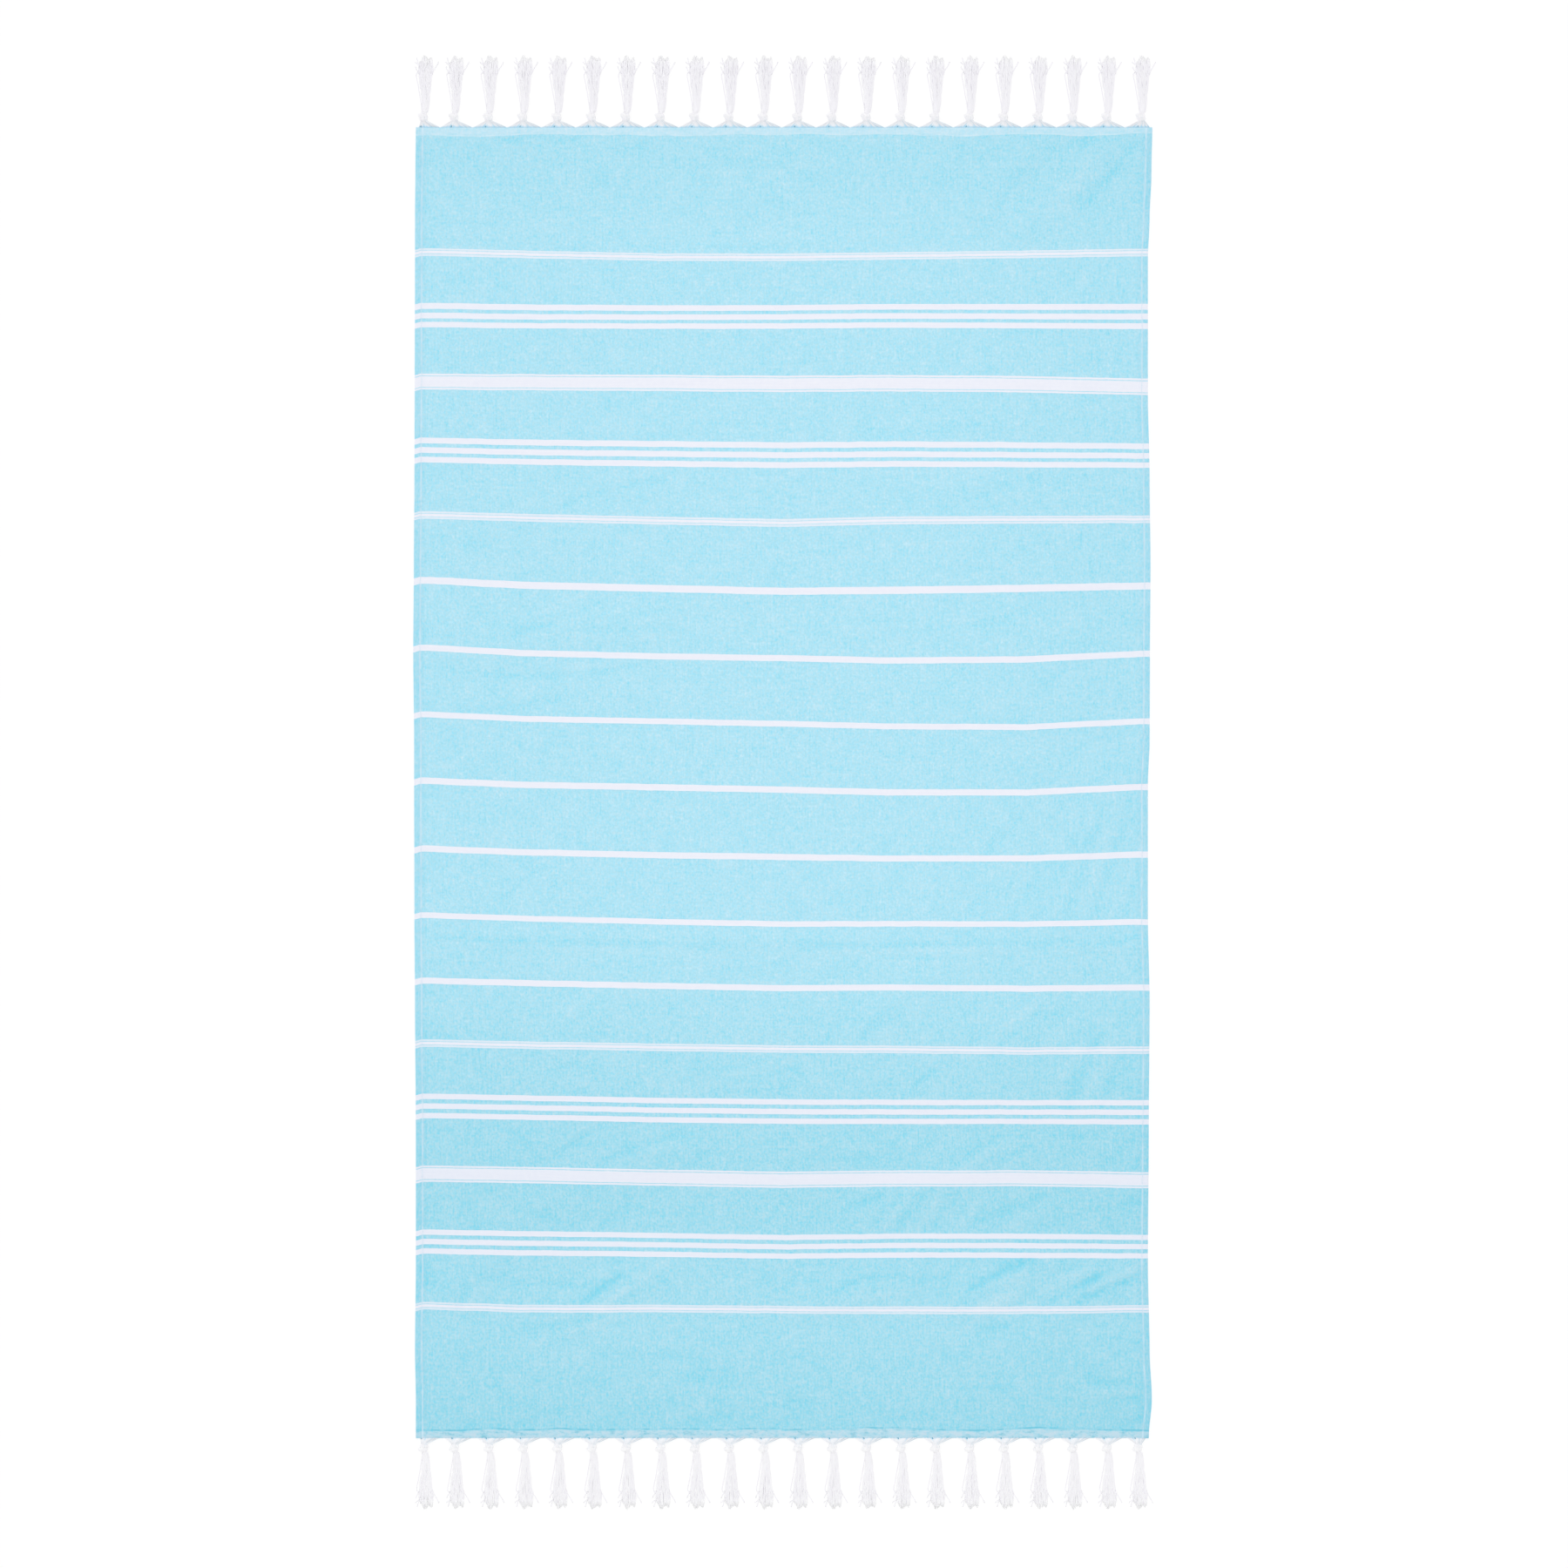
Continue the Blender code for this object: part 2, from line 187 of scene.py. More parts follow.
# Knots at each end, in mm: the corner ones stand closer to their neighbour, the rest are even.
# aside and fan_aside are how far a row's tassels and the gaps between its fans stand to the right,
# out is the knots' distance from the hem, gap the bare hem to the left of each fan, dyed how far the
# turquoise of the hem runs on into the fans, and the last how much whiter the yarns are painted:
# painted light, as the near row's yarns lie in more shade.
TasselRow = namedtuple("TasselRow", "prefix direction first second last_but_one last"
                       " aside fan_aside out gap dyed paler")
TASSEL_ROWS = [TasselRow(*row) for row in (
    ("tassel_far", 1, -487.9, -446.4, 439.6, 486.2, -0.3, 1.3, 14.6, 0.5, 1.1, 0.0),
    ("tassel_near", -1, -487.0, -445.0, 440.7, 482.6, -0.8, 1.7, 13.4, 2.6, 0.2, 0.6),
)]
TASSEL_COUNT = 22
FAN_INSET = 0.0030

# --- the weave

# White weft stripes, in mm: middle line, size, pitch of a group, and how far the weft bows off its
# middle line at the places across the cloth.
Stripe = namedtuple("Stripe", "kind y size pitch bow")
STRIPE_PLACES = (-483.4, -353.2, -163.9, -0.6, 143.8, 333.1, 482.2)
STRIPES = [Stripe(*row) for row in (
    ("triple", 713.2, 10.2, 0, (7.9, 4.6, 0.5, 0, 2.2, 4.6, 7.0)),
    ("bands", 632.5, 7.6, 12.3, (2.0, 0.1, -0.5, 0, 1.5, 0.7, 0.5)),
    ("thick", 541.5, 22.2, 0, (3.1, 2.4, 1.6, 0, 1.1, -0.5, -4.0)),
    ("bands", 444.8, 8.1, 13.5, (7.1, 4.0, 1.7, 0, 1.2, 0.2, -0.7)),
    ("triple", 352.7, 10.8, 0, (11.0, 7.3, 3.2, 0, 3.6, 4.6, 5.2)),
    ("single", 260.0, 9.6, 0, (15.1, 8.3, 3.8, 0, 1.4, 4.1, 7.3)),
    ("single", 169.2, 8.3, 0, (14.1, 6.9, 2.3, 0, -3.4, -1.7, 5.9)),
    ("single", 80.1, 7.9, 0, (12.5, 6.8, 3.3, 0, -3.6, -4.6, 3.2)),
    ("single", -9.4, 8.6, 0, (12.1, 6.6, 3.1, 0, -3.7, -3.8, 3.6)),
    ("single", -100.7, 8.5, 0, (11.2, 6.3, 2.1, 0, -2.2, -2.0, 3.2)),
    ("single", -191.8, 7.7, 0, (12.2, 7.5, 3.0, 0, 0.4, -0.1, 2.8)),
    ("single", -279.0, 8.2, 0, (10.4, 7.1, 3.1, 0, 1.1, -0.5, 0.9)),
    ("triple", -361.6, 10.1, 0, (8.0, 5.3, 2.4, 0, -0.5, -2.7, -1.5)),
    ("bands", -446.6, 7.4, 13.1, (7.6, 5.4, 1.9, 0, -0.5, -0.6, -0.8)),
    ("thick", -539.3, 22.0, 0, (8.4, 7.0, 3.3, 0, 2.2, 2.6, -0.2)),
    ("bands", -630.3, 7.1, 12.6, (7.3, 5.1, 2.9, 0, 2.2, 1.8, 0.5)),
    ("triple", -715.5, 10.2, 0, (5.6, 1.3, 1.5, 0, -0.9, -0.7, 1.2)),
)]
# The turquoise lines inside some stripes, in mm: distance from the middle and half width.
INNER_LINES = {"triple": (2.3, 0.45), "thick": (8.1, 0.6)}
LINE_STRENGTH = 0.8
# A triple stripe's two outer lines, in mm, and how much greyer they are.
TRIPLE_OUTER = 4.3
TRIPLE_OUTER_HALF = 2.0
TRIPLE_DIM = 0.22
# How fast a stripe and an inner line set in, in shares a mm.
STRIPE_EDGE = 2.4
LINE_EDGE = 3.0
# From one twill line, weft yarn, warp yarn or turn of a tassel's yarn to the next.
TWILL_PITCH = 0.0024
WEFT_PITCH = 0.00085
WARP_PITCH = 0.00078
TWIST_PITCH = 0.0011

# The hems' section from the edge in: distance and thickness in mm.
SIDE_HEM = MM * np.array((
    (0.0, 1.15), (0.5, 1.95), (1.5, 2.30), (4.5, 2.35),
    (7.0, 2.15), (8.2, 1.90), (9.3, 1.74), (10.2, 1.50),
    (12.0, 1.20),
))
END_HEM = MM * np.array((
    (0.0, 1.10), (0.8, 1.60), (3.0, 1.75), (6.0, 1.80),
    (9.0, 1.65), (10.8, 1.35), (13.0, 1.20),
))
# The seam's distance from the left edge and from the right one, and how far from the ends it stops.
STITCH_INWARD = {-1: 0.0092, 1: 0.0082}
STITCH_MARGIN = 0.012
# How far the stripes run down over the left hem. Over the right one they run straight.
HEM_DIP = 0.0022
STITCH_PITCH = 0.0030
STITCH_RADIUS = 0.00034
# How much of its pitch a stitch fills, and its arch: share of its length, height over the cloth in mm.
STITCH_FILL = 0.9
STITCH_ARCH = ((0.0, -0.30), (0.2, 0.16), (0.5, 0.28), (0.8, 0.16), (1.0, -0.30))


def smooth(share):
    share = np.clip(share, 0.0, 1.0)
    return share * share * (3.0 - 2.0 * share)


def edge_x(y, side):
    """X of a long edge at Y, side -1 for the left one, eased between the rows of EDGES."""
    places = EDGES[:, 0]
    out = EDGES[:, 1 if side < 0 else 2]
    cell = np.clip(np.searchsorted(places, y) - 1, 0, len(places) - 2)
    share = smooth((y - places[cell]) / (places[cell + 1] - places[cell]))
    return side * (HALF_WIDTH + (out[cell] + (out[cell + 1] - out[cell]) * share))


def lift_at(x, y):
    """Height of the folds over the floor."""
    highest = np.zeros(np.broadcast(x, y).shape)
    for x0, y0, x1, y1, half_width, height in FOLDS:
        dx = x1 - x0
        dy = y1 - y0
        share = np.clip(((x - x0) * dx + (y - y0) * dy) / (dx * dx + dy * dy), 0.0, 1.0)
        away = np.hypot(x - x0 - share * dx, y - y0 - share * dy)
        highest = np.maximum(highest, height * smooth(1.0 - away / half_width))
    return highest


def creases_at(x, y):
    """Sum of the creases, each fading out towards its two ends."""
    total = np.zeros(np.broadcast(x, y).shape)
    for x0, y0, x1, y1, height, half_width, bow in CREASES:
        length = math.hypot(x1 - x0, y1 - y0)
        ux = (x1 - x0) / length
        uy = (y1 - y0) / length
        share = ((x - x0) * ux + (y - y0) * uy) / length
        across = (y - y0) * ux - (x - x0) * uy - bow * 4.0 * share * (1.0 - share)
        along = smooth(share / 0.3 + 0.35) * smooth((1.0 - share) / 0.3 + 0.35)
        total += height * along * np.exp(-(across / half_width) ** 2)
    return total * (1.0 + LOWER_DEEPER * smooth((LOWER_FROM - y) / LOWER_SPAN))


def grains_at(x, y, layers):
    """Sum of layers of smooth noise, each with its grains a metre, seed and height."""
    total = np.zeros(x.shape)
    for scale, seed, height in layers:
        shift = Vector((seed * 7.3, seed * 3.1, seed * 1.7))
        grain = [noise.noise(Vector((a, b, 0.0)) * scale + shift) for a, b in zip(x.flat, y.flat)]
        total += np.array(grain).reshape(x.shape) * height
    return total


def weave_v(x, y, inward):
    """Y as the weft counts it: a stripe keeps its own value all the way across."""
    lines = [(s.y + np.interp(x / MM, STRIPE_PLACES, s.bow)) * MM for s in STRIPES[::-1]]
    end = np.full_like(x, HALF_LENGTH)
    seen = np.array([-end, *lines, end])
    counted = [-HALF_LENGTH, *(stripe.y * MM for stripe in STRIPES[::-1]), HALF_LENGTH]
    dip = np.where(x < 0.0, HEM_DIP, 0.0) * (1.0 - smooth(inward / 0.0095))
    return np.array([np.interp(y[i] + dip[i], seen[:, i], counted) for i in range(len(x))])


# --- meshes

def new_object(name, points, faces, attributes, smooth_faces=True):
    """A mesh object from points, faces and point attributes of three numbers each.
    smooth_faces: one truth value, or one for every face."""
    mesh = bpy.data.meshes.new(name)
    mesh.from_pydata([tuple(p) for p in points], [], [tuple(map(int, face)) for face in faces])
    for label, values in attributes.items():
        layer = mesh.attributes.new(label, "FLOAT_VECTOR", "POINT")
        layer.data.foreach_set("vector", np.asarray(values, np.float32).ravel())
    mesh.polygons.foreach_set("use_smooth", np.full(len(mesh.polygons), smooth_faces))
    mesh.update()
    item = bpy.data.objects.new(name, mesh)
    bpy.context.collection.objects.link(item)
    return item


def grid_faces(corners):
    """Quads that face up. A grid that is transposed, or has its rows reversed, makes them face down."""
    return [(corners[r, c], corners[r, c + 1], corners[r + 1, c + 1], corners[r + 1, c])
            for r in range(corners.shape[0] - 1) for c in range(corners.shape[1] - 1)]


def lowest_nearby(heights, reach):
    """The lowest height within reach rows and columns of every grid point."""
    padded = np.pad(heights, reach, mode="edge")
    rows, columns = heights.shape
    lowest = heights
    for down in range(2 * reach + 1):
        for along in range(2 * reach + 1):
            lowest = np.minimum(lowest, padded[down:down + rows, along:along + columns])
    return lowest


def towel_lines():
    """X and Y of the grid, finer over the hems: one row of X for every Y."""
    side = SIDE_HEM[:, 0]
    end = END_HEM[:, 0]
    y_lines = np.concatenate([
        -HALF_LENGTH + end[:-1],
        np.linspace(-HALF_LENGTH + end[-1], HALF_LENGTH - end[-1], CELLS_ALONG + 1),
        (HALF_LENGTH - end[:-1])[::-1],
    ])
    rows = []
    for y in y_lines:
        left = float(edge_x(y, -1))
        right = float(edge_x(y, 1))
        rows.append(np.concatenate([
            left + side[:-1],
            np.linspace(left + side[-1], right - side[-1], CELLS_ACROSS + 1),
            (right - side[:-1])[::-1],
        ]))
    return y_lines, np.array(rows)


def header_inward(xs, ys, end_in):
    """Distance in from the end edge, stretched so that the header's inner border wanders."""
    middle = xs[len(xs) // 2]
    near, far = (grains_at(middle, np.full_like(middle, end), HEADER_WANDER) for end in (-1.0, 1.0))
    wave = np.where(ys < 0.0, near[None, :], far[None, :])
    return end_in - wave * smooth(end_in / 0.009)


def towel_faces(top, under):
    """Quads over the top and the underside, and a wall of wider faces round the edge."""
    faces = grid_faces(top) + grid_faces(under.T)
    for c in range(under.shape[1] - 1):
        span = slice(UNDER_STEP * c, UNDER_STEP * (c + 1) + 1)
        faces.append((under[0, c], under[0, c + 1], *top[0, span][::-1]))
        faces.append((under[-1, c + 1], under[-1, c], *top[-1, span]))
    for r in range(under.shape[0] - 1):
        span = slice(UNDER_STEP * r, UNDER_STEP * (r + 1) + 1)
        faces.append((under[r + 1, 0], under[r, 0], *top[span, 0]))
        faces.append((under[r, -1], under[r + 1, -1], *top[span, -1][::-1]))
    return faces


def build_towel():
    y_lines, xs = towel_lines()
    ys = np.repeat(y_lines[:, None], xs.shape[1], axis=1)
    side_in = np.minimum(xs - xs[:, :1], xs[:, -1:] - xs)
    end_in = HALF_LENGTH - np.abs(ys)
    end_from = header_inward(xs, ys, end_in)
    swell = grains_at(xs, ys, SWELL)
    pucker = grains_at(xs * 0.2, ys, HEM_PUCKER) * smooth(1.0 - side_in / 0.014)
    header = grains_at(xs, ys * 0.3, HEADER_PUCKER) * smooth(1.0 - end_in / 0.018)
    creases = creases_at(xs, ys)
    rest = lift_at(xs, ys) + creases + swell + pucker + header + CLOTH_REST
    low = np.maximum(rest * smooth(np.minimum(side_in, end_in) / 0.02 + 0.35), 0.0)
    thick = np.maximum(np.interp(side_in, *SIDE_HEM.T), np.interp(end_from, *END_HEM.T))
    v = weave_v(xs.ravel(), ys.ravel(), side_in.ravel())
    # The weave's third number is the crease height in mm, which the cloth material turns into painted
    # shade.
    weave = np.stack([xs.ravel(), v, creases.ravel() / MM], axis=1)
    hem = np.stack([side_in.ravel(), end_from.ravel(), np.sign(ys).ravel()], axis=1)

    step = (slice(None, None, UNDER_STEP),) * 2
    under_low = lowest_nearby(low, UNDER_STEP)[step]
    top = np.arange(xs.size).reshape(xs.shape)
    under = np.arange(under_low.size).reshape(under_low.shape) + top.size
    points = np.concatenate([
        np.stack([xs, ys, low + thick], axis=2).reshape(-1, 3),
        np.stack([xs[step], ys[step], under_low], axis=2).reshape(-1, 3),
    ])
    picked = top[step].ravel()
    towel = new_object("towel", points, towel_faces(top, under), {
        "weave": np.concatenate([weave, weave[picked]]),
        "hem": np.concatenate([hem, hem[picked]]),
    })
    return towel, (y_lines, xs, low + thick)


def surface_z(surface, x, y):
    """Height of the towel's top at a point."""
    y_lines, xs, tops = surface
    row = int(np.clip(np.searchsorted(y_lines, y) - 1, 0, len(y_lines) - 2))
    share = (y - y_lines[row]) / (y_lines[row + 1] - y_lines[row])
    return ((1.0 - share) * np.interp(x, xs[row], tops[row])
            + share * np.interp(x, xs[row + 1], tops[row + 1]))


class Tubes:
    """Many thin closed tubes and webs in one mesh. A lift of painted light is added to the tone of every
    tube.
    """

    def __init__(self, paler=0.0):
        self.paler = paler
        self.points = []
        self.faces = []
        self.values = []
        self.smooth_faces = []

    def new_corners(self, rows, columns):
        """The numbers of the next points, in rows."""
        first = sum(len(points) for points in self.points)
        return first + np.arange(rows * columns).reshape(rows, columns)

    def add(self, line, radius, up=(0.0, 0.0, 1.0), tone=0.0, sides=5, start=0.0, dye=0.0):
        """line: (n, 3). radius: one number or n. up: one direction or n, roughly square to the line."""
        line = np.asarray(line, float)
        count = len(line)
        radius = np.broadcast_to(radius, count)
        tangent = np.gradient(line, axis=0)
        tangent /= np.linalg.norm(tangent, axis=1)[:, None]
        side = np.cross(tangent, up)
        side /= np.linalg.norm(side, axis=1)[:, None]
        above = np.cross(side, tangent)
        turn = 2.0 * math.pi * (np.arange(sides) + 0.5) / sides
        ring = (side[:, None, :] * np.cos(turn)[None, :, None]
                + above[:, None, :] * np.sin(turn)[None, :, None])
        corners = self.new_corners(count, sides)
        points = line[:, None, :] + ring * radius[:, None, None]
        self.points.append(points.reshape(-1, 3))
        run = start + np.concatenate([[0.0], np.cumsum(np.linalg.norm(np.diff(line, axis=0), axis=1))])
        value = np.zeros((count, sides, 3))
        value[:, :, 0] = run[:, None]
        value[:, :, 1] = tone + self.paler
        value[:, :, 2] = dye
        self.values.append(value.reshape(-1, 3))
        self.faces += grid_faces(np.hstack([corners, corners[:, :1]]))
        self.faces += [corners[0, ::-1], corners[-1]]
        self.smooth_faces += [True] * (sides * (count - 1)) + [False, False]

    def add_web(self, top, under_z, run, tone):
        """A closed sheet of yarns. top: (rows, columns, 3). under_z and run: one number for each row."""
        rows, columns = top.shape[:2]
        under = top.copy()
        under[:, :, 2] = np.minimum(under_z[:, None], top[:, :, 2] - 0.0002)
        upper = self.new_corners(rows, columns)
        self.points.append(np.concatenate([top.reshape(-1, 3), under.reshape(-1, 3)]))
        value = np.zeros((2, rows, columns, 3))
        value[:, :, :, 0] = run[:, None]
        value[:, :, :, 1] = tone
        self.values.append(value.reshape(-1, 3))
        below = rows * columns
        self.faces += grid_faces(upper) + grid_faces(upper[::-1] + below)
        rim = [*upper[0, :], *upper[1:, -1], *upper[-1, -2::-1], *upper[-2:0:-1, 0]]
        self.faces += [(b, a, a + below, b + below) for a, b in zip(rim, rim[1:] + rim[:1])]
        self.smooth_faces += [True] * (len(self.faces) - len(self.smooth_faces))

    def build(self, name):
        return new_object(name, np.concatenate(self.points), self.faces,
                          {"yarn": np.concatenate(self.values)}, self.smooth_faces)


# --- stitches

def build_stitches(surface):
    """A row of short stitches along both long hems, each arching over the cloth and into it."""
    tubes = Tubes()
    count = int((2 * HALF_LENGTH - 2 * STITCH_MARGIN) / STITCH_PITCH)
    for side in (-1, 1):
        for number in range(count):
            y0 = -HALF_LENGTH + STITCH_MARGIN + number * STITCH_PITCH
            wobble = 0.00025 * math.sin(number * 1.7) + 0.00045 * math.sin(number * 0.11 + side)
            line = []
            for share, rise in STITCH_ARCH:
                y = y0 + share * STITCH_PITCH * STITCH_FILL
                x = float(edge_x(y, side)) - side * (STITCH_INWARD[side] + wobble)
                x += side * 0.00012 * (share - 0.5)
                line.append((x, y, surface_z(surface, x, y) + rise * MM))
            tubes.add(line, STITCH_RADIUS, tone=0.3 * math.sin(number * 2.3), sides=4)
    return tubes.build("hem_stitches")


# --- tassels

# The skirt in mm: distance from the knot, left and right limits, height, and underside.
SKIRT_ALONG, *SKIRT_LIMITS = np.array((
    (2.5, -2.4, 3.0, 6.0, 1.6), (4.6, -2.8, 4.0, 5.6, 1.2), (6.3, -2.7, 6.0, 5.2, 0.8),
    (9.5, -3.0, 6.8, 4.8, 0.4), (14.0, -3.1, 7.5, 4.4, 0.1), (20.7, -2.6, 8.4, 3.9, 0.0),
    (24.5, -2.6, 8.7, 3.7, 0.0), (29.5, -3.6, 8.3, 3.6, 0.0), (33.5, -3.2, 9.5, 3.5, 0.0),
    (40.0, -5.4, 10.2, 3.3, 0.0), (48.0, -6.2, 10.8, 3.1, 0.0), (57.0, -6.8, 11.8, 2.9, 0.0),
    (65.0, -7.5, 13.3, 2.8, 0.0), (72.0, -7.0, 12.8, 2.4, 0.0), (82.0, -6.4, 12.8, 1.7, 0.0),
)).T
# The ragged end: how far the yarns reach at a share of the width, -1 left to 1 right.
REACH_PLACES = (-1.0, -0.85, -0.62, -0.45, -0.3, -0.1, 0.05, 0.2, 0.45, 0.6, 0.72, 0.88, 1.0)
REACH_VALUES = (72.0, 75.0, 78.6, 82.4, 83.4, 82.8, 81.2, 79.4, 78.8, 79.8, 81.4, 80.0, 76.6)
# Dark strands of painted shade in the gaps between yarns, in mm: distance from the knot and place across
# at both ends.
GAP_SHADE_STRANDS = (
    (25.0, 4.3, 34.0, 3.9), (33.0, 3.8, 48.0, 1.0), (41.5, 7.0, 49.5, 7.3),
    (51.0, 0.2, 59.0, -2.3), (53.0, 8.3, 61.5, 5.0), (58.5, -0.3, 65.5, -0.9),
    (56.5, 8.9, 63.5, 9.3), (63.5, 11.4, 71.0, 10.6), (69.5, -0.2, 77.5, -0.7),
    (70.5, -3.9, 76.0, -3.2), (69.5, 7.1, 77.5, 7.8), (74.5, 1.9, 80.5, 0.9),
    (44.0, -2.8, 52.0, -3.6), (62.0, 3.4, 69.0, 2.6),
)
GAP_SHADE_RADII = (0.00010, 0.00040, 0.00040, 0.00010)
# A tone this low marks a strand of painted shade for the material.
GAP_SHADE_TONE = -2.0
# Stray yarns in mm, from the skirt outwards: distance from the knot and place across.
STRAYS = [
    ((9.0, -2.2), (15.0, -3.0), (21.0, -4.0), (28.0, -5.2), (36.0, -6.6), (43.2, -7.8),
     (50.0, -9.2), (54.5, -10.2), (57.5, -10.2), (60.0, -8.6), (62.0, -6.8)),
    ((58.0, -6.4), (61.0, -7.8), (63.5, -9.2), (65.5, -10.4), (68.0, -11.2)),
    ((68.0, -5.8), (70.6, -7.2), (72.0, -9.2), (73.2, -10.8), (74.6, -12.0)),
    ((66.0, -5.6), (71.0, -7.2), (75.0, -8.2), (78.0, -8.9), (80.0, -9.6)),
    ((57.0, 11.4), (62.0, 13.2), (66.0, 15.4), (69.0, 17.3), (72.0, 18.9), (74.6, 20.2)),
]
# Their heights in mm: the first one's at its first points, the others' there, and all from there on.
STRAY_FIRST_HEIGHTS = (2.4, 2.6, 1.6, 0.8)
STRAY_OTHER_HEIGHTS = (2.4, 1.5)
STRAY_HEIGHT = 0.6
STRAY_RADIUS = 0.00062
STRAY_END_RADII = (0.00078, 0.00070)
YARN_RADIUS = 0.00060
YARN_START = 0.03
SKIRT_YARNS = 45
# The skirt's flank lies this share lower than its middle, and its yarns lie this deep in it, in mm.
SKIRT_CROWN = 0.60
SKIRT_DEPTH = 1.2
# The yarns lie this high over the underside, and the dark strands of painted shade between them a little
# higher.
YARN_LIFT = 0.58
GAP_SHADE_LIFT = 0.75
CORE_STRANDS = 26
CORE_REACH = 74.5
# The core's section in mm: lift, depth below the skirt, fall of its flanks, ridges, lowest height.
CORE_LIFT = 0.45
CORE_DEPTH = 1.5
CORE_CROWN = 0.75
CORE_RIDGE = 0.18
CORE_LOWEST = 0.35
# The fan from hem to knot, in mm: distance from the knot, share of its narrowing, height, underside.
FAN_ALONG, FAN_EASE, FAN_HIGH, FAN_LOW = np.array((
    (-16.4, 0.0, 0.75, 0.30), (-14.7, 0.0, 1.05, 0.10), (-12.4, 0.27, 2.00, 0.05),
    (-9.2, 0.63, 4.00, 0.10), (-6.8, 0.91, 5.70, 0.40), (-5.0, 1.0, 6.60, 0.80),
    (-3.2, 1.0, 7.20, 1.20), (-1.2, 0.96, 7.60, 1.60),
)).T
FAN_YARNS = 34
# Middle and half width of the fan's narrow end, in mm.
FAN_FOOT = 0.2
FAN_FOOT_HALF = 4.0
# How early the yarns of the fan turn white, from the left one to the right one: higher is sooner.
FAN_PLACES = (0.0, 0.08, 0.2, 0.31, 0.43, 0.55, 0.66, 0.74, 0.81, 0.9, 1.0)
FAN_WHITE = (2.0, 2.4, 0.2, -0.8, 0.2, 2.2, -0.8, 1.8, -0.8, 2.2, -0.6)
# Yarns over the fan: place from 0 at the left to 1 at the right, and how much turquoise they carry.
FAN_LOOSE = ((0.02, 0.0), (0.13, 0.06), (0.24, 0.0), (0.37, 0.0), (0.50, 0.0), (0.60, 0.10),
             (0.70, 0.22), (0.78, 0.0), (0.86, 0.25), (0.93, 0.0), (1.0, 0.42))
FAN_LOOSE_RADIUS = 0.00048
FAN_DYED_RADIUS = 0.00034
# By what share the fan's flanks lie lower at the knot, and the height of its ridges in mm.
FAN_CROWN = 0.30
FAN_RIDGE = 0.09
# The cut end of a weft yarn, in mm: distance from the knot, place across, height.
WEFT_END = ((-14.1, -4.5, 1.0), (-13.5, -4.2, 1.8), (-13.0, -3.8, 2.0), (-12.5, -3.5, 1.7))
WEFT_END_RADIUS = 0.00072
# The knot, in mm: middle, and halves of its width, height and length. For each mm to the right that
# half length grows by the widening, and the knot lies nearer to the hem by the slant.
KNOT_CENTRE = (-0.9, -0.2, 4.1)
KNOT_HALF_WIDTH = 6.3
KNOT_HALF_HEIGHT = 3.3
KNOT_HALF_LENGTH = 3.6
KNOT_WIDENING = 0.18
KNOT_SLANT = 0.26
BAND_YARNS = 9
BULGE_YARNS = 12
BAND_RADIUS = 0.00070
BULGE_RADIUS = 0.0011
BULGE_ENDS = (-6.6, 5.2)


def chance(*keys):
    """A repeatable number from 0 to 1 for up to three keys."""
    return (noise.noise(Vector([key * 12.9898 + 4.137 for key in keys] + [0.5] * (3 - len(keys))))
            * 43.7585) % 1.0


def skirt_at(along):
    """The skirt's left and right limits, height and underside at distances from the knot."""
    return [np.interp(along, SKIRT_ALONG, limit) for limit in SKIRT_LIMITS]


def add_skirt(tubes, number, place):
    """The loose yarns in layers, over a core that closes the gaps between them."""
    core_along = np.append(SKIRT_ALONG[:-1], CORE_REACH)
    left, right, high, low = (values[:, None] for values in skirt_at(core_along))
    columns = 2 * CORE_STRANDS + 1
    shares = np.linspace(-0.9, 0.9, columns)[None, :]
    ridge = np.where(np.arange(columns) % 2, CORE_RIDGE, -CORE_RIDGE)[None, :]
    top = low + CORE_LIFT + (high - CORE_DEPTH) * (1.0 - CORE_CROWN * shares * shares) + ridge
    across = (left + right) / 2 + (right - left) / 2 * shares
    points = place(across, core_along[:, None], np.maximum(top, CORE_LOWEST))
    tubes.add_web(points, low[:, 0] * MM + 0.00005, core_along * MM + YARN_START, -0.1)
    for yarn in range(SKIRT_YARNS):
        layer = yarn % 3
        share = -1.0 + 2.0 * (yarn + 0.5) / SKIRT_YARNS
        share += 0.03 * (chance(yarn, number, 1) - 0.5)
        reach = np.interp(share, REACH_PLACES, REACH_VALUES) - layer * 1.2 * chance(yarn, number, 2)
        reach += 1.6 * (chance(yarn, number, 3) - 0.6)
        along = np.append(SKIRT_ALONG[SKIRT_ALONG < reach - 2.0], reach)
        left, right, high, low = skirt_at(along)
        swap = 0.10 * np.sin(along * (0.055 + 0.05 * chance(yarn, number, 4))
                             + 6.3 * chance(yarn, number, 5))
        swap *= smooth((along - 8.0) / 20.0) * (1.0 - abs(share))
        across = (left + right) / 2 + (right - left - 1.1) / 2 * np.clip(share + swap, -1.0, 1.0)
        crown = 1.0 - SKIRT_CROWN * share * share
        level = 0.72 + 0.14 * layer + 0.06 * chance(yarn, number, 6)
        z = low + YARN_LIFT + (high - SKIRT_DEPTH) * crown * np.clip(level, 0.0, 1.0)
        radius = np.full(len(along), YARN_RADIUS)
        radius[-1] *= 0.7
        tubes.add(place(across, along, z), radius, tone=chance(yarn, number, 7) - 0.5, start=YARN_START)


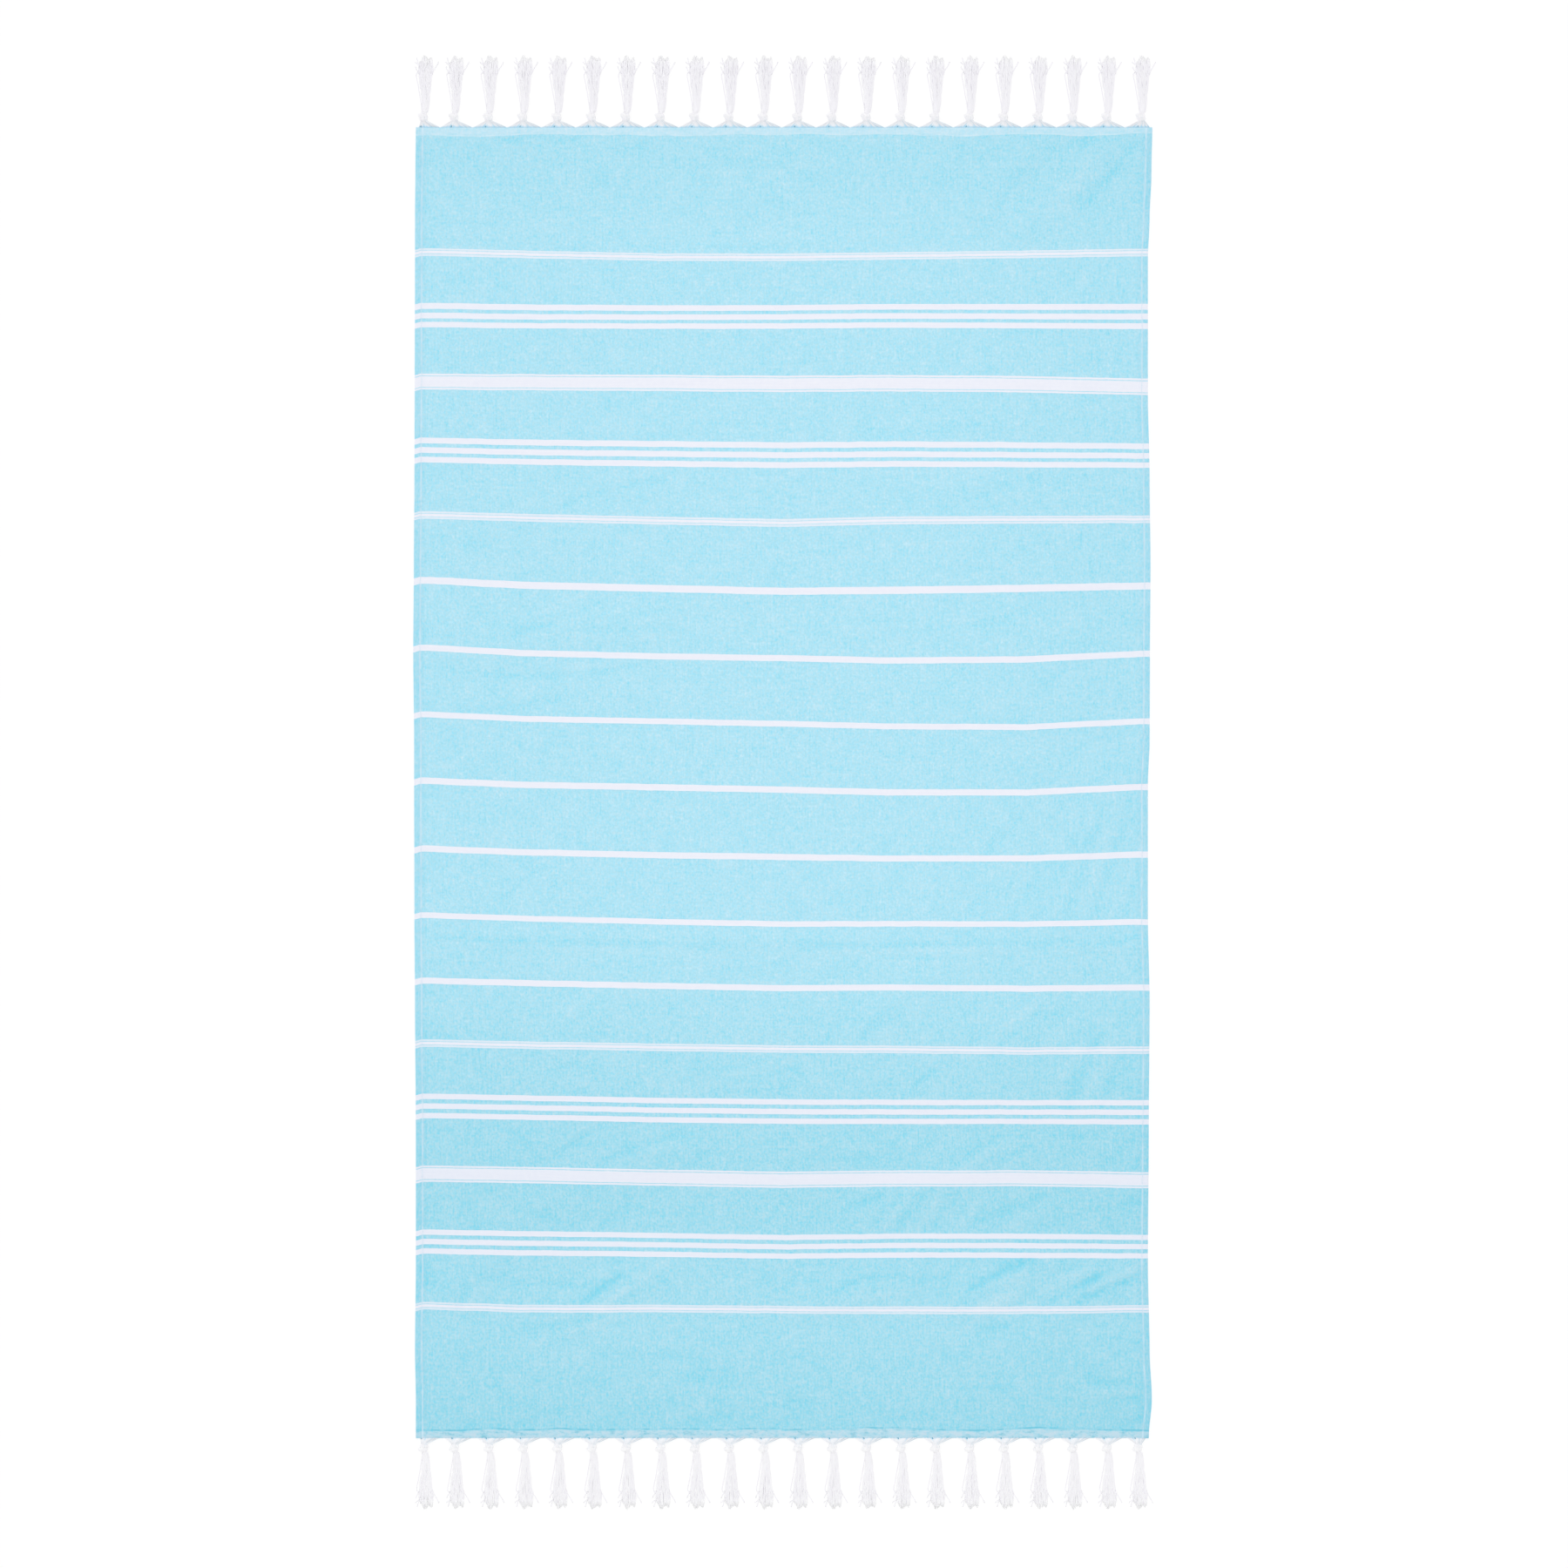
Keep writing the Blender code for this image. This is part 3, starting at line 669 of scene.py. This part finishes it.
def add_gap_shade_strands(tubes, number, place):
    """Thin dark strands of painted shade in the gaps where the skirt's yarns part."""
    for which, (along0, across0, along1, across1) in enumerate(GAP_SHADE_STRANDS):
        along = np.linspace(along0, along1, 4)
        across = np.linspace(across0, across1, 4)
        across += 0.5 * (chance(which, number, 31) - 0.5)
        left, right, high, low = skirt_at(along)
        share = (across - (left + right) / 2) / ((right - left) / 2)
        z = low + GAP_SHADE_LIFT + (high - SKIRT_DEPTH) * (1.0 - SKIRT_CROWN * share * share)
        tubes.add(place(across, along, z), GAP_SHADE_RADII, tone=GAP_SHADE_TONE, start=YARN_START)


def add_strays(tubes, place):
    for which, points in enumerate(STRAYS):
        along, across = np.array(points).T
        first = STRAY_OTHER_HEIGHTS if which else STRAY_FIRST_HEIGHTS
        z = np.full(len(along), STRAY_HEIGHT)
        z[:len(first)] = first
        radius = np.full(len(along), STRAY_RADIUS)
        radius[-2:] = STRAY_END_RADII
        tubes.add(place(across, along, z), radius, tone=-0.6, start=YARN_START)


def add_fan(tubes, number, place, fan_left, fan_right, dyed):
    """Warp ends from the hem, side by side, gathered into the knot, with some on top of the rest."""
    ease = FAN_EASE[:, None]

    def laid(share, lift):
        start = fan_left + (fan_right - fan_left) * share
        squeeze = 2.0 * share - 1.0
        across = start + (FAN_FOOT + squeeze * FAN_FOOT_HALF - start) * ease
        z = FAN_HIGH[:, None] * (1.0 - FAN_CROWN * squeeze * squeeze * ease) + lift
        return place(across, FAN_ALONG[:, None], z)

    columns = 2 * FAN_YARNS + 1
    ridge = np.where(np.arange(columns) % 2, FAN_RIDGE, -FAN_RIDGE)[None, :]
    shares = np.linspace(0.0, 1.0, columns)
    web = laid(shares[None, :], ridge)
    white = np.interp(shares, FAN_PLACES, FAN_WHITE)
    white += [0.9 * (chance(column, number, 14) - 0.5) for column in range(columns)]
    tubes.add_web(web, FAN_LOW * MM, (FAN_ALONG - FAN_ALONG[0] - dyed) * MM, white)
    for place_in_fan, dye in FAN_LOOSE:
        share = place_in_fan + 0.02 * (chance(place_in_fan * 50.0, number, 12) - 0.5)
        line = laid(np.array([[np.clip(share, 0.0, 1.0)]]), 2 * FAN_RIDGE)[:, 0, :]
        tubes.add(line, FAN_DYED_RADIUS if dye else FAN_LOOSE_RADIUS, tone=0.3, dye=dye)


def add_weft_end(tubes, place):
    """The cut end of a turquoise weft yarn that peeps out at the fan's foot."""
    along, across, z = np.array(WEFT_END).T
    tubes.add(place(across, along, z), WEFT_END_RADIUS, dye=0.9)


def add_knot(tubes, number, place):
    """An overhand knot: yarns wound slantwise about the bundle, with the bundle's own bulge inside."""
    turns = np.linspace(0.0, 2.0 * math.pi, 21)
    across0, along0, z0 = KNOT_CENTRE
    for yarn in range(BAND_YARNS):
        share = (yarn + 0.5) / BAND_YARNS * 2.0 - 1.0
        bulge = math.sqrt(1.0 - 0.60 * share * share)
        from_centre = KNOT_HALF_WIDTH * bulge * np.cos(turns)
        half = KNOT_HALF_LENGTH + KNOT_WIDENING * from_centre
        along = along0 + share * half - KNOT_SLANT * from_centre + 0.22 * np.sin(3.0 * turns + yarn)
        z = np.maximum(z0 + KNOT_HALF_HEIGHT * bulge * np.sin(turns), 0.70)
        outward = np.stack([from_centre, np.zeros_like(z), z - z0], axis=1)
        # The knot's yarns get a higher tone than the skirt's: painted light on the same yarn.
        tubes.add(place(across0 + from_centre, along, z), BAND_RADIUS, outward,
                  tone=chance(yarn, number, 21) + 0.3, start=YARN_START)
    for yarn in range(BULGE_YARNS):
        angle = 2.0 * math.pi * yarn / BULGE_YARNS
        along = np.linspace(*BULGE_ENDS, 9)
        width = 1.0 - ((along + 0.9) / 8.0) ** 2
        across = -0.1 + 0.04 * along + 4.5 * width * math.cos(angle)
        z = np.maximum(4.0 + 3.0 * width * math.sin(angle), 0.9)
        tubes.add(place(across, along, z), BULGE_RADIUS, start=YARN_START)


def build_tassel(row, number, x, fan_left, fan_right):
    y = row.direction * (HALF_LENGTH + row.out * MM)

    def place(across, along, z):
        """Points from mm to the right of the knot, outwards from it and over the floor."""
        parts = (x + across * MM, y + row.direction * along * MM, z * MM)
        return np.stack(np.broadcast_arrays(*parts), axis=-1)

    tubes = Tubes(row.paler)
    add_fan(tubes, number, place, fan_left, fan_right, row.dyed)
    add_weft_end(tubes, place)
    add_knot(tubes, number, place)
    add_skirt(tubes, number, place)
    add_gap_shade_strands(tubes, number, place)
    add_strays(tubes, place)
    node = f"{row.prefix}_{number + 1:02d}"
    return node, tubes.build(f"{node}_yarns")


def build_tassels():
    built = []
    for row in TASSEL_ROWS:
        inner = np.linspace(row.second, row.last_but_one, TASSEL_COUNT - 2)
        places = [x + row.aside for x in (row.first, *inner, row.last)]
        y = row.direction * HALF_LENGTH
        left = (float(edge_x(y, -1)) + FAN_INSET) / MM
        right = (float(edge_x(y, 1)) - FAN_INSET) / MM
        borders = [left, *[(a + b) / 2 + row.fan_aside for a, b in zip(places, places[1:])], right]
        for number, x in enumerate(places):
            built.append(build_tassel(row, number, x * MM, borders[number] + row.gap - x,
                                      borders[number + 1] - 0.5 - x))
    return built


# --- materials

def srgb(red, green, blue):
    def linear(value):
        value = value / 255.0
        return value / 12.92 if value <= 0.04045 else ((value + 0.055) / 1.055) ** 2.4
    return (linear(red), linear(green), linear(blue), 1.0)


class Value:
    """What a node puts out, with plain arithmetic."""

    def __init__(self, graph, socket):
        self.graph = graph
        self.socket = socket

    def __add__(self, other):
        return self.graph.math("ADD", self, other)

    def __sub__(self, other):
        return self.graph.math("SUBTRACT", self, other)

    def __rsub__(self, other):
        return self.graph.math("SUBTRACT", other, self)

    def __mul__(self, other):
        return self.graph.math("MULTIPLY", self, other)

    def __abs__(self):
        return self.graph.math("ABSOLUTE", self)


class Graph:
    """Short ways to add nodes to one material."""

    def __init__(self, name):
        self.material = bpy.data.materials.new(name)
        self.material.use_nodes = True
        self.tree = self.material.node_tree
        self.shader = self.tree.nodes["Principled BSDF"]

    def node(self, kind, **settings):
        made = self.tree.nodes.new(kind)
        for key, value in settings.items():
            setattr(made, key, value)
        return made

    def plug(self, socket, value):
        if isinstance(value, Value):
            self.tree.links.new(value.socket, socket)
        else:
            socket.default_value = value

    def math(self, operation, *values, clamp=False):
        made = self.node("ShaderNodeMath", operation=operation, use_clamp=clamp)
        for socket, value in zip(made.inputs, values):
            self.plug(socket, value)
        return Value(self, made.outputs[0])

    def clamped(self, value):
        return self.math("ADD", value, 0.0, clamp=True)

    def waves(self, value, pitch):
        return self.math("SINE", value * (2.0 * math.pi / pitch))

    def least(self, values):
        smallest = values[0]
        for value in values[1:]:
            smallest = self.math("MINIMUM", smallest, value)
        return smallest

    def ramp(self, value, low, high):
        """0 below low, 1 above high, eased between."""
        made = self.node("ShaderNodeMapRange", interpolation_type="SMOOTHSTEP")
        self.plug(made.inputs["Value"], value)
        made.inputs["From Min"].default_value = low
        made.inputs["From Max"].default_value = high
        return Value(self, made.outputs["Result"])

    def fall(self, value, low, high):
        """1 below low, 0 above high, eased between."""
        return 1.0 - self.ramp(value, low, high)

    def mix(self, share, first, second):
        made = self.node("ShaderNodeMix", data_type="RGBA")
        self.plug(made.inputs[0], share)
        self.plug(made.inputs[6], first)
        self.plug(made.inputs[7], second)
        return Value(self, made.outputs[2])

    def coordinates(self):
        return Value(self, self.node("ShaderNodeTexCoord").outputs["Object"])

    def attribute(self, name):
        return Value(self, self.node("ShaderNodeAttribute", attribute_name=name).outputs["Vector"])

    def parts(self, vector):
        made = self.node("ShaderNodeSeparateXYZ")
        self.plug(made.inputs[0], vector)
        return [Value(self, part) for part in made.outputs]

    def scaled(self, vector, scale):
        made = self.node("ShaderNodeVectorMath", operation="MULTIPLY")
        self.plug(made.inputs[0], vector)
        made.inputs[1].default_value = scale
        return Value(self, made.outputs[0])

    def noise(self, vector, scale, detail=2.0, roughness=0.5):
        made = self.node("ShaderNodeTexNoise", noise_dimensions="3D")
        self.plug(made.inputs["Vector"], vector)
        made.inputs["Scale"].default_value = scale
        made.inputs["Detail"].default_value = detail
        made.inputs["Roughness"].default_value = roughness
        return Value(self, made.outputs["Fac"])

    def streaks(self, vector, across, along, detail=1.0, roughness=0.6):
        """Noise of so many grains a metre across and along the cloth."""
        return self.noise(self.scaled(vector, (across, along, 1.0)), 1.0, detail, roughness)

    def bump(self, height, distance, strength):
        made = self.node("ShaderNodeBump")
        made.inputs["Distance"].default_value = distance
        made.inputs["Strength"].default_value = strength
        self.plug(made.inputs["Height"], height)
        self.tree.links.new(made.outputs["Normal"], self.shader.inputs["Normal"])

    def finish(self, colour, **constants):
        """Colour and constants on the shader's own sockets, a socket's spaces written as underscores."""
        self.plug(self.shader.inputs["Base Color"], colour)
        for name, value in constants.items():
            self.shader.inputs[name.replace("_", " ")].default_value = value
        return self.material


def stripe_mask(graph, v):
    """1 inside a white stripe. v is in mm along the cloth, as the weft counts it."""
    outside = []
    lines = []
    outer = []
    for stripe in STRIPES:
        count = 3 if stripe.kind == "bands" else 1
        for band in range(count):
            off = abs(v - (stripe.y + (band - (count - 1) / 2) * stripe.pitch))
            outside.append(off - stripe.size / 2)
        if stripe.kind in INNER_LINES:
            place, half = INNER_LINES[stripe.kind]
            lines.append(abs(off - place) - half)
        if stripe.kind == "triple":
            outer.append(abs(off - TRIPLE_OUTER) - TRIPLE_OUTER_HALF)
    white = graph.clamped(graph.least(outside) * -STRIPE_EDGE + 0.5)
    clear = graph.clamped(graph.least(lines) * LINE_EDGE + 0.5) * LINE_STRENGTH + (1.0 - LINE_STRENGTH)
    dim = graph.clamped(graph.least(outer) * -STRIPE_EDGE + 0.5)
    return white * (clear * (dim * -TRIPLE_DIM + 1.0))


def falloff_shade_at(graph, u, v):
    """Painted shade: the cloth made darker and deeper turquoise towards the near end, both sides and the
    far edge, where less light falls, and a little less so in a band short of the near end.
    """
    near = graph.fall(v, -0.57, -0.15)
    paler = graph.ramp(v, -0.81, -0.74) * graph.fall(v, -0.68, -0.58)
    last = graph.fall(v, -0.88, -0.80)
    first = graph.ramp(v, 0.72, 0.87)
    left = graph.fall(u, -0.49, -0.12)
    right = graph.ramp(u, 0.14, 0.49)
    return near * 0.25 + paler * -0.055 + last * 0.07 + first * 0.08 + left * 0.035 + right * 0.075


def header_colour(graph, place, end_in, end_side, colour):
    """End headers: turned in, crumpled, and showing more of the pale warp. At the near end their pale is
    greyer and has darker turquoise patches: painted shade.
    """
    far = end_side * 0.5 + 0.5
    crumple = graph.streaks(place, 70.0, 150.0, 3.0, 0.7)
    header = graph.fall(end_in, 0.0100, 0.0109)
    paleness = graph.clamped((crumple - 0.5) * (far * -2.2 + 3.4) + 0.58)
    pale = graph.mix(far, srgb(208, 226, 238), srgb(224, 240, 251))
    colour = graph.mix(header * (paleness * 0.75), colour, pale)
    # Painted shade: darker turquoise patches over the near header.
    header_shade = graph.ramp(crumple, 0.50, 0.32) * (1.0 - far)
    colour = graph.mix(header * header_shade * 0.45, colour, srgb(128, 186, 208))
    # Where the turned end stops: a painted highlight line along the fold at the far end, a broken
    # painted shadow line at the near end.
    broken = graph.ramp(graph.streaks(place, 45.0, 5.0, 2.0), 0.44, 0.62)
    painted_fold_line = graph.fall(abs(end_in - (far * -0.0022 + 0.0121)), 0.0003, 0.0017)
    painted_fold_line = painted_fold_line * ((broken * 0.58 + 0.14) * (far * -0.6 + 1.0))
    return graph.mix(painted_fold_line, colour, graph.mix(far, srgb(96, 196, 222), srgb(226, 243, 252)))


def side_hem_colour(graph, place, u, side_in, turned, plain, colour):
    """Side hems: a little denser, and still so just inside the seam. Stripes stay as they are."""
    hemmed = turned * 0.06 + graph.fall(side_in, 0.0130, 0.0175) * 0.08
    colour = graph.mix(hemmed * plain, colour, srgb(116, 200, 228))
    # The seam: a pale line that comes and goes.
    right_side = graph.math("GREATER_THAN", u, 0.0)
    seam_in = right_side * (STITCH_INWARD[1] - STITCH_INWARD[-1]) + STITCH_INWARD[-1]
    seam = graph.fall(abs(side_in - seam_in), 0.0004, 0.0019)
    seen = graph.ramp(graph.streaks(place, 5.0, 60.0, 2.0), 0.30, 0.66)
    return graph.mix(seam * (seen * 0.44 + 0.16) * plain, colour, srgb(222, 240, 252))


def cloth_material():
    graph = Graph("woven_cloth")
    weave = graph.attribute("weave")
    u, v, crease = graph.parts(weave)
    side_in, end_in, end_side = graph.parts(graph.attribute("hem"))
    place = graph.scaled(weave, (1.0, 1.0, 0.0))
    # Painted shade: darker towards the near end, the sides and the far edge.
    falloff_shade = falloff_shade_at(graph, u, v)

    # Uneven yarns: flecks of white warp among the turquoise weft, in several sizes.
    fine = graph.streaks(place, 345.0, 270.0)
    middle = graph.streaks(place, 150.0, 120.0, 1.0, 0.7)
    wide = graph.noise(place, 30.0, 3.0, 0.95)
    warp_streak = graph.streaks(place, 430.0, 30.0, 2.0)
    weft_streak = graph.streaks(place, 18.0, 420.0, 2.0)
    # Twill: fine diagonal lines that come and go, and show most on the side hems.
    turned = graph.fall(side_in, 0.0088, 0.0098)
    twill_seen = graph.ramp(graph.noise(place, 24.0, 2.0), 0.45, 0.7)
    twill = graph.waves(u + v, TWILL_PITCH) * graph.math("MAXIMUM", twill_seen, turned * 1.6)
    # Single threads over and under each other.
    thread = graph.waves(v, WEFT_PITCH) * graph.waves(u, WARP_PITCH)

    uneven = (fine - 0.5) * 0.58
    for layer, amount in ((middle, 0.30), (wide, 0.38), (warp_streak, 0.34), (weft_streak, 0.12)):
        uneven = uneven + (layer - 0.5) * amount
    uneven = (uneven + twill * 0.05 + thread * 0.10) * (falloff_shade * 2.1 + 1.15)
    # Painted shade from the crease heights: deeper turquoise in the troughs, whiter on the ridges.
    share = graph.clamped(uneven + 0.49 + crease * 0.19)
    ground = graph.mix(share, srgb(114, 222, 248), srgb(224, 244, 255))
    ground = graph.mix(falloff_shade, ground, srgb(98, 196, 218))
    bluer = graph.ramp(graph.streaks(place, 320.0, 300.0), 0.30, 0.70)
    ground = graph.mix(bluer * 0.25, ground, srgb(172, 212, 218))

    # Slubs: short dark turquoise thickenings of a weft yarn, and white flecks of the warp.
    slub = graph.ramp(graph.streaks(place, 150.0, 900.0, 1.0, 0.4), 0.76, 0.86)
    ground = graph.mix(slub * 0.5, ground, srgb(88, 186, 212))
    fleck = graph.ramp(graph.streaks(place, 700.0, 420.0, 1.0, 0.4), 0.77, 0.85)
    ground = graph.mix(fleck * 0.6, ground, srgb(236, 246, 253))

    # White weft stripes, with a slightly uneven edge.
    wander = graph.streaks(place, 26.0, 3.0, 2.0)
    fuzz = graph.noise(place, 900.0, 1.0)
    stripes = stripe_mask(graph, v * 1000.0 + (wander - 0.5) * 1.6 + (fuzz - 0.5) * 0.7)
    # The stripes' white also takes painted shade from the crease heights.
    tone = graph.clamped(middle * 0.4 + weft_streak * 0.5 + crease * 0.25)
    white = graph.mix(tone, srgb(234, 237, 250), srgb(248, 249, 255))
    # The stripes' white goes greyer in the same painted shade.
    white = graph.mix(falloff_shade * 0.6, white, srgb(196, 216, 236))
    colour = graph.mix(stripes, ground, white)

    colour = header_colour(graph, place, end_in, end_side, colour)
    colour = side_hem_colour(graph, place, u, side_in, turned, 1.0 - stripes, colour)
    graph.bump(fine * 0.8 + thread * 0.35 + twill * 0.25 + stripes * 0.5, 0.00022, 0.55)
    return graph.finish(colour, Roughness=0.92, Specular_IOR_Level=0.25,
                        Sheen_Weight=0.12, Sheen_Roughness=0.6)


def yarn_material():
    graph = Graph("cotton_yarn")
    run, tone, dye = graph.parts(graph.attribute("yarn"))
    coords = graph.coordinates()
    x, y, _ = graph.parts(coords)
    twist = graph.waves(x + y * 0.6, TWIST_PITCH)
    hairs = graph.noise(coords, 1500.0, 2.0)
    shade = graph.clamped(tone * 0.35 + 0.45 + twist * 0.10 + (hairs - 0.5) * 0.5)
    # Painted light: the tips are whiter, lifting the shade that falls among them.
    shade = graph.clamped(shade + graph.ramp(run, 0.096, 0.108) * 0.4)
    colour = graph.mix(shade, srgb(244, 242, 249), srgb(254, 254, 255))
    # Painted shade: the strands in the gaps are dark. Painted light: the fan is whiter than the same
    # yarn in the skirt.
    colour = graph.mix(graph.ramp(tone, -1.0, -1.8), colour, srgb(226, 223, 232))
    colour = graph.mix(graph.ramp(run, 0.018, 0.028), srgb(252, 252, 255), colour)
    # The turquoise of the hem runs a little way on into the fan.
    reach = run * (tone * 0.5 + 1.3)
    foot = graph.clamped(graph.fall(reach, 0.0006, 0.0075) * (hairs * 0.5 + 0.65))
    colour = graph.mix(foot, colour, srgb(168, 222, 247))
    colour = graph.mix(dye, colour, srgb(92, 168, 192))
    graph.bump(twist * 0.5 + hairs, 0.00015, 0.5)
    return graph.finish(colour, Roughness=0.9, Specular_IOR_Level=0.25, Sheen_Weight=0.15)


def thread_material():
    graph = Graph("stitch_thread")
    _, tone, _ = graph.parts(graph.attribute("yarn"))
    colour = graph.mix(graph.clamped(tone + 0.5), srgb(206, 234, 248), srgb(228, 243, 252))
    return graph.finish(colour, Roughness=0.75)


def floor_material():
    graph = Graph("pale_floor")
    grain = graph.noise(graph.coordinates(), 3.0)
    colour = graph.mix(grain, srgb(150, 150, 150), srgb(152, 152, 152))
    return graph.finish(colour, Emission_Color=(1.0, 1.0, 1.0, 1.0), Emission_Strength=0.70,
                        Roughness=0.95, Specular_IOR_Level=0.0)


# --- floor, light, camera

VIEW_CENTRE = (0.0011, -0.0017)
VIEW_WIDTH = 2.1301


def build_floor():
    half = 9.0
    z = -0.0002
    points = [(x * half, y * half, z) for x, y in ((-1, -1), (1, -1), (1, 1), (-1, 1))]
    floor = new_object("floor", points, [(0, 1, 2, 3)], {}, False)
    floor.data.materials.append(floor_material())
    return floor


def add_sun(name, azimuth, elevation, strength, spread):
    """A soft sun from azimuth, degrees clockwise from +Y, and elevation above the floor."""
    light = bpy.data.lights.new(name, "SUN")
    light.energy = strength
    light.angle = math.radians(spread)
    item = bpy.data.objects.new(name, light)
    a, e = math.radians(azimuth), math.radians(elevation)
    towards = Vector((math.sin(a) * math.cos(e), math.cos(a) * math.cos(e), math.sin(e)))
    item.rotation_euler = towards.to_track_quat("Z", "Y").to_euler()
    bpy.context.collection.objects.link(item)


def light_scene():
    world = bpy.data.worlds.new("studio")
    world.use_nodes = True
    background = world.node_tree.nodes["Background"]
    background.inputs["Color"].default_value = (1.0, 1.0, 1.0, 1.0)
    background.inputs["Strength"].default_value = 0.90
    bpy.context.scene.world = world
    add_sun("key", -20.0, 60.0, 0.385, 60.0)
    bpy.context.scene.view_settings.view_transform = "Standard"


def aim_camera():
    """Straight above, with VIEW_WIDTH of floor across the picture."""
    camera = bpy.data.cameras.new("camera")
    camera.lens = 85.0
    camera.sensor_width = 36.0
    camera.clip_end = 100.0
    item = bpy.data.objects.new("camera", camera)
    item.location = (*VIEW_CENTRE, VIEW_WIDTH * camera.lens / camera.sensor_width)
    bpy.context.collection.objects.link(item)
    bpy.context.scene.camera = item


aim_camera()
light_scene()
floor = build_floor()
cotton = yarn_material()

towel, surface = build_towel()
towel.data.materials.append(cloth_material())
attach(towel, "root")
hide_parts("cloth")

stitches = build_stitches(surface)
stitches.data.materials.append(thread_material())
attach(stitches, "root")

for node, tassel in build_tassels():
    tassel.data.materials.append(cotton)
    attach(tassel, "root")
    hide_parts(node)
